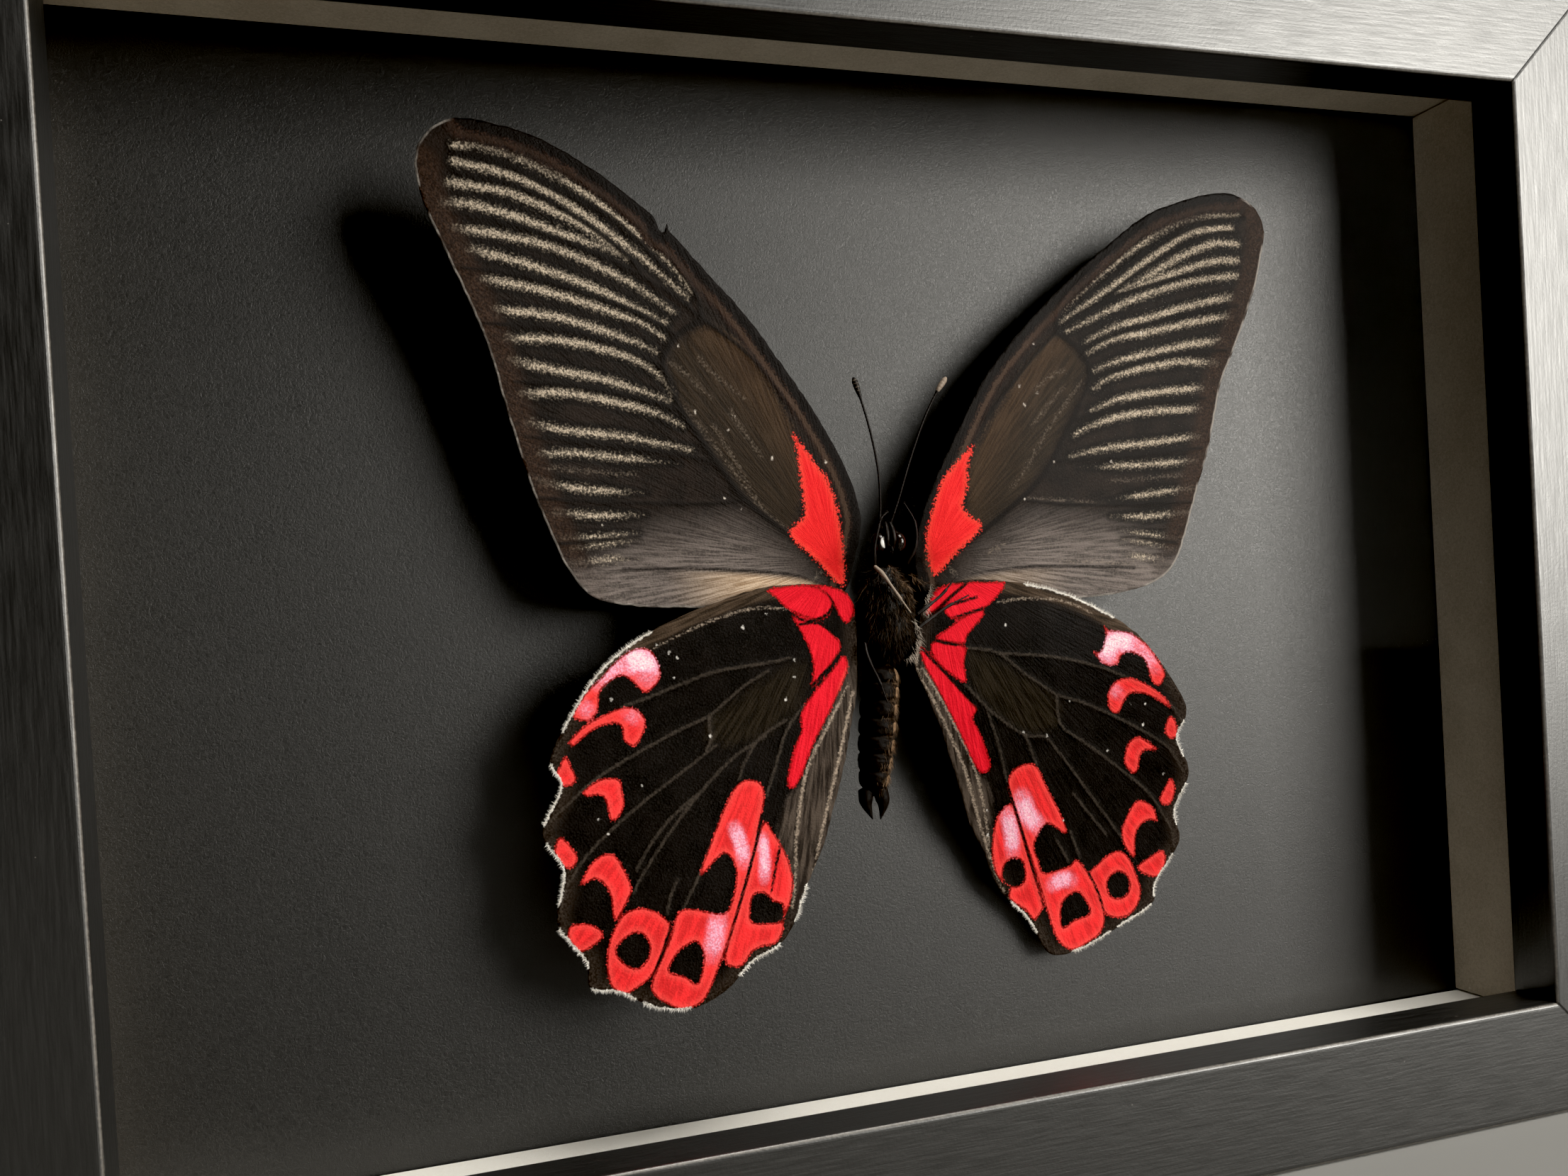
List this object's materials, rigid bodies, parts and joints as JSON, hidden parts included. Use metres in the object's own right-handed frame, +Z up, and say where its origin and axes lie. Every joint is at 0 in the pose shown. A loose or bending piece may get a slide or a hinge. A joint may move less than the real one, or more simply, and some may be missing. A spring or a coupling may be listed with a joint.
{
  "type": "framed butterfly specimen",
  "caption": "Shallow black box frame with glass, cream spacer walls and a black board, holding a black and scarlet swallowtail spread underside out.",
  "frame": {"origin": "centre of the bottom of the frame's box, on the surface that it stands on", "axes": "+X to the right along the long side, +Y from the face to the back, +Z up"},
  "size_m": [0.1992, 0.03, 0.1486],
  "materials": {
    "black_moulding": "satin black paint with a fine brushed grain",
    "clear_glass": "clear, thin",
    "cream_spacer": "matte cream card",
    "black_board": "matte black fibrous board",
    "back_panel": "brown hardboard",
    "bright_steel": "bright zinc-plated",
    "wing_membrane": "powdery scales, black-brown with scarlet marks",
    "insect_body": "black, finely haired"
  },
  "bodies": {
    "root": {"frame_top": "black_moulding", "frame_right": "black_moulding", "frame_bottom": "black_moulding", "frame_left": "black_moulding", "glass": "clear_glass", "spacer_top": "cream_spacer", "spacer_right": "cream_spacer", "spacer_bottom": "cream_spacer", "spacer_left": "cream_spacer", "mat_board": "black_board", "back_panel": "back_panel", "flex_point_1": "bright_steel", "flex_point_2": "bright_steel", "flex_point_3": "bright_steel", "flex_point_4": "bright_steel", "flex_point_5": "bright_steel", "flex_point_6": "bright_steel", "hanger": "bright_steel", "rivet_left": "bright_steel", "rivet_right": "bright_steel", "specimen_pin": "bright_steel", "forewing_left": "wing_membrane", "forewing_right": "wing_membrane", "hindwing_left": "wing_membrane", "hindwing_right": "wing_membrane", "thorax": "insect_body", "head": "insect_body", "eye_left": "insect_body", "eye_right": "insect_body", "abdomen": "insect_body", "clasper_left": "insect_body", "clasper_right": "insect_body", "antenna_left": "insect_body", "antenna_right": "insect_body", "leg_fore_left": "insect_body", "leg_fore_right": "insect_body", "leg_mid_left": "insect_body", "leg_mid_right": "insect_body", "leg_hind_left": "insect_body", "leg_hind_right": "insect_body"}
  },
  "joints": []
}
